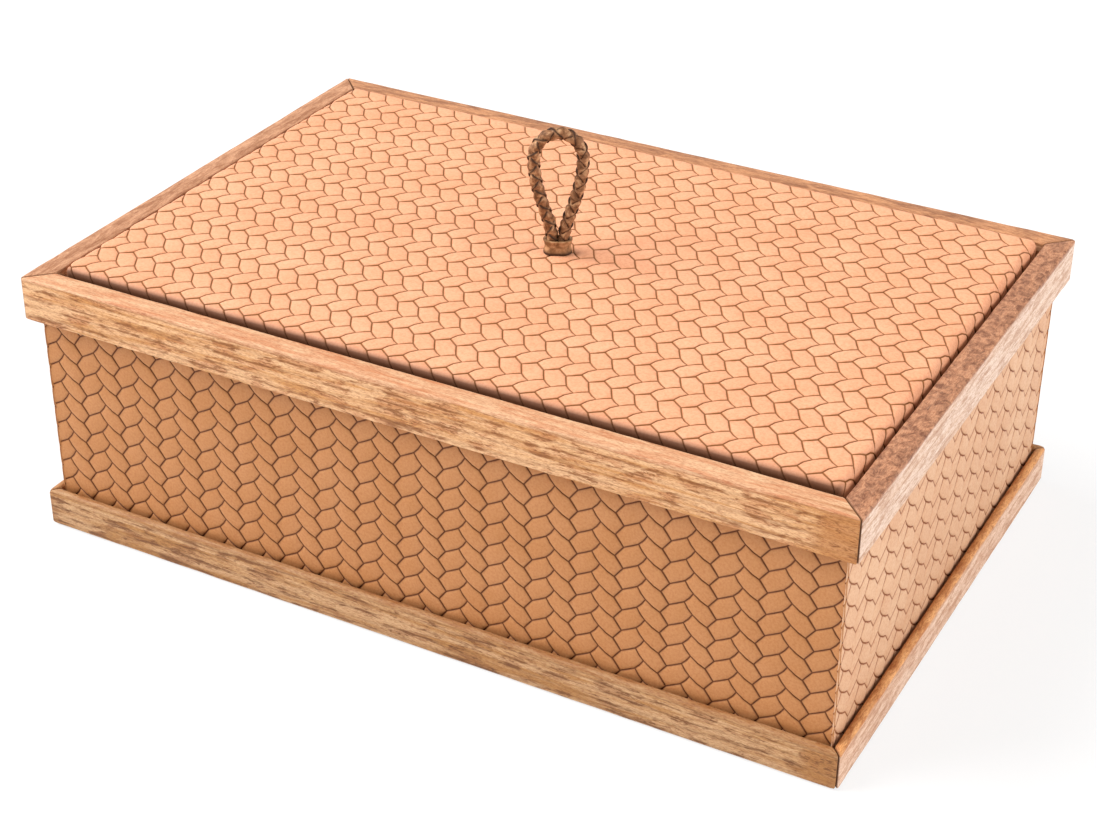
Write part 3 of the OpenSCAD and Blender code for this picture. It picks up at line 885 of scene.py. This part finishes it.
def make_studio():
    """A big lamp at the front left, a smaller one on the right, and white all round that
    lights the box at half the strength it is seen with."""
    make_lamp("key", (-2.2, -0.9, 2.3), 2.6, 182)
    make_lamp("side", (2.2, 0.3, 0.9), 1.8, 46)
    world = bpy.data.worlds.new("studio")
    bpy.context.scene.world = world
    world.use_nodes = True
    tree = world.node_tree
    tree.nodes.clear()
    camera_ray = add(tree, "ShaderNodeLightPath", out="Is Camera Ray")
    glossy_ray = add(tree, "ShaderNodeLightPath", out="Is Glossy Ray")
    seen = add(tree, "ShaderNodeMath", {0: camera_ray, 1: glossy_ray}, operation="MAXIMUM")
    strength = add(tree, "ShaderNodeMapRange", {"Value": seen, "To Min": 0.5, "To Max": 1.0})
    sky = add(tree, "ShaderNodeBackground", {"Color": (1, 1, 1, 1), "Strength": strength})
    add(tree, "ShaderNodeOutputWorld", {"Surface": sky})


def make_floor():
    """Pale painted floor that the camera sees mostly as plain white, with soft shadows."""
    material, tree = new_material("pale_floor")
    camera_ray = add(tree, "ShaderNodeLightPath", out="Is Camera Ray")
    share = add(tree, "ShaderNodeMath", {0: camera_ray, 1: 0.75}, operation="MULTIPLY")
    lit = add(tree, "ShaderNodeBsdfDiffuse", {"Color": paint("#F4F4F4")})
    white = add(tree, "ShaderNodeEmission", {"Color": (1, 1, 1, 1)})
    mixed = add(tree, "ShaderNodeMixShader", {0: share, 1: lit, 2: white})
    add(tree, "ShaderNodeOutputMaterial", {"Surface": mixed})
    bm = bmesh.new()
    bmesh.ops.create_grid(bm, x_segments=1, y_segments=1, size=4)
    bmesh.ops.translate(bm, vec=(0, 0, -0.2 * MM), verts=bm.verts)
    mesh = bpy.data.meshes.new("floor")
    bm.to_mesh(mesh)
    bm.free()
    mesh.materials.append(material)
    ground = bpy.data.objects.new("floor", mesh)
    bpy.context.scene.collection.objects.link(ground)


def dress(node, material):
    """Gives a CAD node its finish."""
    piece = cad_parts[node]
    if not piece.material_slots:
        piece.data.materials.append(material)
    for slot in piece.material_slots:
        slot.material = material


make_camera()
make_studio()
make_floor()

# Each length of moulding: grain direction, sapwood, darker sapwood, flecks, the two
# tones of its heartwood and the length of its marks, where that starts, a soaked end
RIM_HEART = rim_high.z - 1
BASE_HEART = base_high.z - 1.4
WOOD = {
    "rim_front": ("X", "#DDB083", "#C58C52", "#855020", ("#BE7F56", "#D3A983"), 22, RIM_HEART,
                  (139, "#B3773F")),
    # The right rim's sapwood is set paler and greyer than the others', a painted reflection of the
    # white room on its outer face
    "rim_right": ("Y", "#D4BDAC", "#CDB09A", "#B08A70", ("#74472F", "#B98563"), 3, RIM_HEART),
    "rim_back": ("X", "#D6AC87", "#C08E64", "#895124", ("#8B5C3D", "#C48D63"), 12, RIM_HEART),
    "rim_left": ("Y", "#D6AC87", "#C08E64", "#895124", ("#986644", "#C79673"), 12, RIM_HEART),
    "base_front": ("X", "#C49D73", "#AA7A46", "#704520", ("#9B6A3D", "#B18960"), 14, BASE_HEART,
                   (141, "#A5713B")),
    # The right base's sapwood is set paler and greyer than the others', a painted reflection of the
    # white room on its outer face
    "base_right": ("Y", "#DBBEA8", "#CBA78E", "#B58A6C", ("#B0703C", "#DCA268"), 8, BASE_HEART),
    "base_back": ("X", "#C9A47A", "#B18358", "#7D5129", ("#96673C", "#B78658"), 14, BASE_HEART),
    "base_left": ("Y", "#C9A47A", "#B18358", "#7D5129", ("#96673C", "#B78658"), 14, BASE_HEART),
}

wood = {name: mango_wood(f"mango_wood_{name}", *tones) for name, tones in WOOD.items()}
# One leather in three colours that paint the light on each face: darker on the front, back and left
# walls, paler on the right wall, palest on the lid
side_leather = {
    "front": embossed_leather("plaited_leather_shaded_copy", "#B67E4F", "#B17847", "#5C2C0A"),
    "right": embossed_leather("plaited_leather_lit_copy", "#C9A282", "#C39877", "#7E4318"),
}
side_leather["back"] = side_leather["front"]
side_leather["left"] = side_leather["front"]
lid_lit_copy = embossed_leather("plaited_leather_lid_lit_copy", "#E0A37E", "#DC9B75", "#7C4810", lid_high.z)
lace_brown = lace_leather("lace_leather_brown", "#5A381E", "#8C6040", "#C0946C")
collar_brown = lace_leather("strap_leather_brown", "#6E4A2C", "#946A46", "#BE9068")
suede = napped("suede_brown", "#4C3222", "#6E4C36", 0.6)
felt = napped("felt_dark", "#2C2724", "#4A423C", 0.9)
board = fibreboard("fibreboard_raw")
padding = foam_sheet("foam_sheet")
steel = tack_steel("tack_steel")

for index, side in enumerate(SIDES):
    moulding("rim", side, wood[f"rim_{side}"], index)
    moulding("base", side, wood[f"base_{side}"], index + 4)
    wall_leather(side, side_leather[side])
    dress(f"wall_{side}", board)
    dress(f"lining_{side}", suede)
lid_cover(lid_lit_copy)
pull_loop(lace_brown)
collar(collar_brown)
dress("floor_board", board)
dress("floor_lining", suede)
dress("base_felt", felt)
dress("lid_board", board)
dress("lid_padding", padding)
dress("lid_lining", suede)
dress("pull_tacks", steel)

bpy.context.scene.view_settings.view_transform = "Standard"
